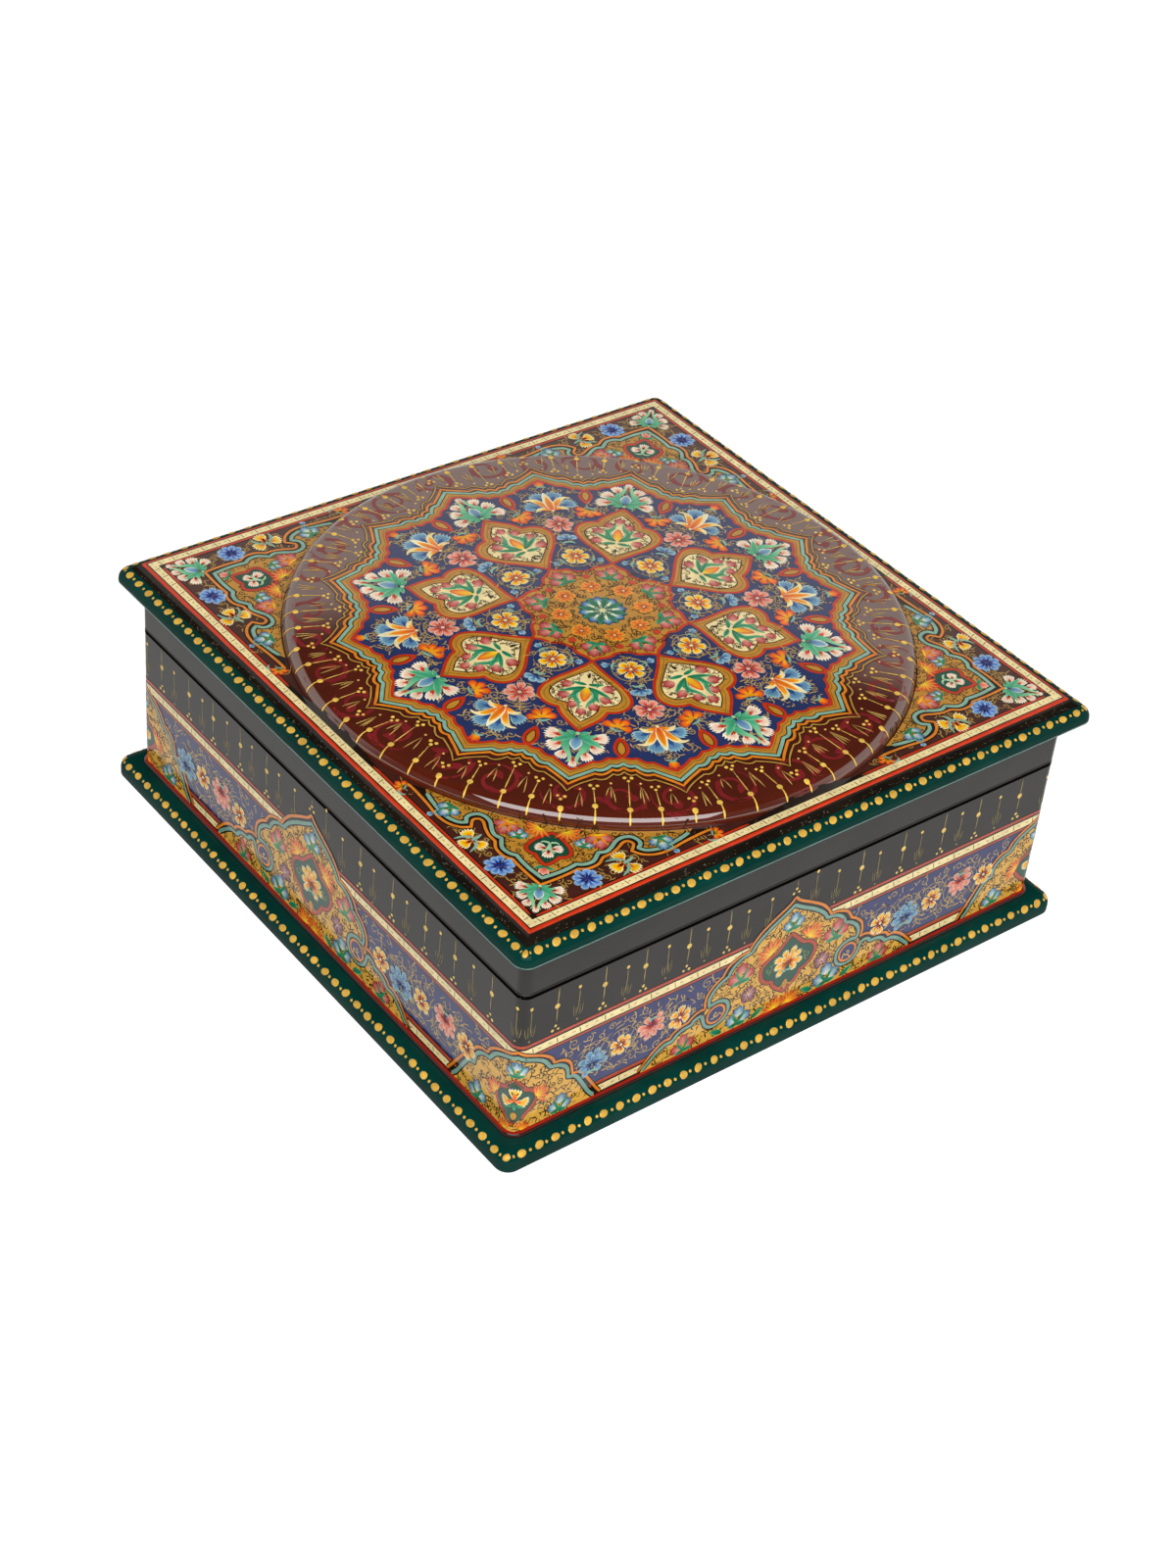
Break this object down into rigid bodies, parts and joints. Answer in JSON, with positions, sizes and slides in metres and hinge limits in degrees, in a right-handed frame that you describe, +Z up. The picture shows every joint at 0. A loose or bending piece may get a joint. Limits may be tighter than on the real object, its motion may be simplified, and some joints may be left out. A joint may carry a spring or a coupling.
{
  "type": "lacquered papier-mache box",
  "caption": "Low square lacquered papier-mache box with a moulded plinth and an overhanging lift-off lid that carries a shallow round dome.",
  "frame": {"origin": "centre of the underside, on the surface that the box stands on", "axes": "+Z up; X and Y along the sides, with the front wall towards -Y and the right wall towards +X"},
  "size_m": [0.2054, 0.2054, 0.0855],
  "materials": {
    "green_lacquer": "gloss",
    "charcoal_lacquer": "satin",
    "black_lacquer": "gloss",
    "maroon_ground": "gloss",
    "navy_ground": "gloss",
    "painted_ornament": "gloss",
    "gold_paint": "satin"
  },
  "bodies": {
    "base": {"plinth_board": "green_lacquer", "front_wall": "charcoal_lacquer", "right_wall": "charcoal_lacquer", "back_wall": "charcoal_lacquer", "left_wall": "charcoal_lacquer", "foot_cord": "black_lacquer", "front_locating_strip": "black_lacquer", "right_locating_strip": "black_lacquer", "back_locating_strip": "black_lacquer", "left_locating_strip": "black_lacquer"},
    "lid": {"front_collar_rail": "charcoal_lacquer", "right_collar_rail": "charcoal_lacquer", "back_collar_rail": "charcoal_lacquer", "left_collar_rail": "charcoal_lacquer", "lid_board": "green_lacquer", "lid_panel": "maroon_ground", "lid_dome": "navy_ground"}
  },
  "joints": [
    {"name": "lid_lift", "type": "slide", "parent": "base", "child": "lid", "axis": [0, 0, 1], "range_m": [0, 0.06]}
  ]
}
